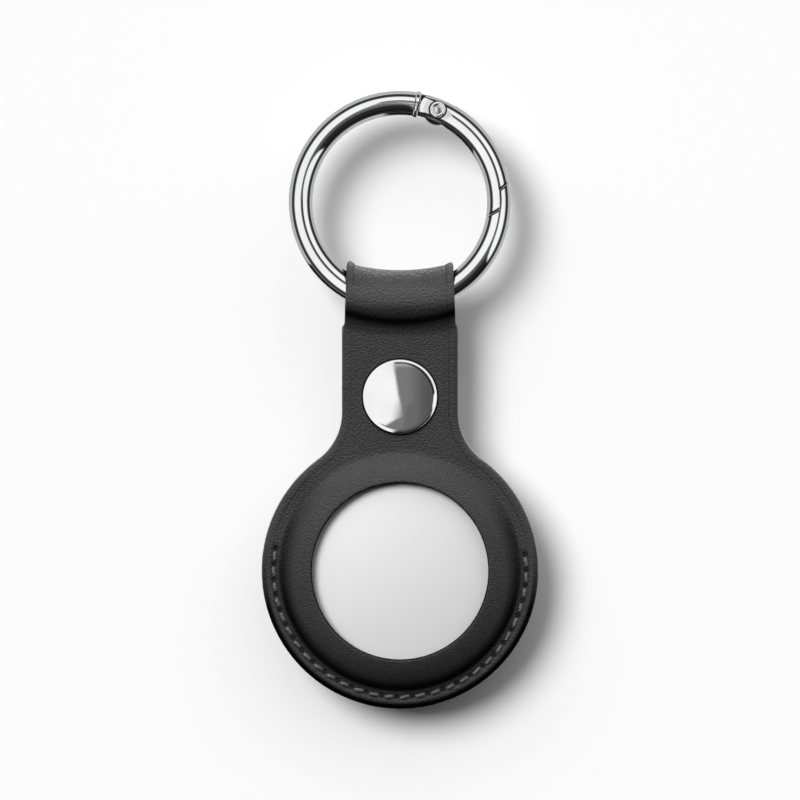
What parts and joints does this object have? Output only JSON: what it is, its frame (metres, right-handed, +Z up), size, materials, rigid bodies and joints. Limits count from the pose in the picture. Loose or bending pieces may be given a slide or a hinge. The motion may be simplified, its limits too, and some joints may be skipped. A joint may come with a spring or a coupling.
{
  "type": "tracker tag holder",
  "caption": "Leather key holder for a round tracker tag, with windows front and back, a snap flap and a spring-gate key ring.",
  "frame": {"origin": "centre of the key ring, in the middle of its wire's depth", "axes": "+Z up, with the holder hanging below the ring; +Y towards the back, where the flap is; +X to the right as seen from the front, where the gate is"},
  "size_m": [0.0436, 0.0092, 0.0973],
  "materials": {
    "chrome_plate": "polished",
    "rivet_steel": "polished",
    "spring_steel": "bright drawn wire",
    "black_leather": "fine pebble grain, satin",
    "lining_leather": "smooth, matt",
    "black_thread": "waxed",
    "snap_plate": "polished",
    "snap_steel": "satin",
    "pale_plastic": "satin",
    "pale_metal": "satin, pale grey",
    "cell_steel": "satin",
    "contact_brass": "bright",
    "board_green": "matt",
    "magnet_dark": "satin"
  },
  "bodies": {
    "ring": {"ring_body": "chrome_plate", "hinge_rivet": "rivet_steel"},
    "gate": {"ring_gate": "chrome_plate", "gate_spring": "spring_steel"},
    "plunger": {"spring_plunger": "spring_steel"},
    "holder": {"strap_loop": "black_leather", "front_outer_leather": "black_leather", "front_lining": "lining_leather", "back_outer_leather": "black_leather", "back_lining": "lining_leather", "front_seam_thread": "black_thread", "back_seam_thread": "black_thread", "snap_cap": "snap_plate", "snap_socket": "snap_steel", "snap_spring": "spring_steel"},
    "flap": {"flap_outer_leather": "black_leather", "flap_lining": "lining_leather", "snap_post_cap": "snap_plate", "snap_stud": "snap_steel"},
    "tag": {"tag_shell": "pale_plastic", "tag_back_cover": "pale_metal", "tag_battery": "cell_steel", "tag_battery_contacts": "contact_brass", "tag_circuit_board": "board_green", "tag_speaker": "magnet_dark"}
  },
  "joints": [
    {"name": "ring_swing", "type": "hinge", "parent": "ring", "child": "holder", "pos_m": [0, 0, -0.01562], "axis": [1, 0, 0], "range_deg": [-80, 75], "deforming": ["strap_loop"]},
    {"name": "gate_hinge", "type": "hinge", "parent": "ring", "child": "gate", "pos_m": [0.00593, 0, 0.01446], "axis": [0, 1, 0], "range_deg": [0, 35], "stiffness_Nm_per_rad": 0.01, "springref_deg": -22.92},
    {"name": "plunger_slide", "type": "slide", "parent": "gate", "child": "plunger", "axis": [0.7851, 0, -0.6194], "range_m": [0, 0.0005], "deforming": ["gate_spring"]},
    {"name": "flap_fold", "type": "hinge", "parent": "holder", "child": "flap", "pos_m": [0, 0.0033, -0.0385], "axis": [-1, 0, 0], "range_deg": [0, 100], "deforming": ["snap_spring"]},
    {"name": "tag_spin", "type": "hinge", "parent": "holder", "child": "tag", "pos_m": [0, 0.0009, -0.058], "axis": [0, 1, 0], "continuous": true}
  ],
  "couplings": [
    {"joint": "plunger_slide", "follows": "gate_hinge", "m_per_rad": 0.00081843}
  ]
}
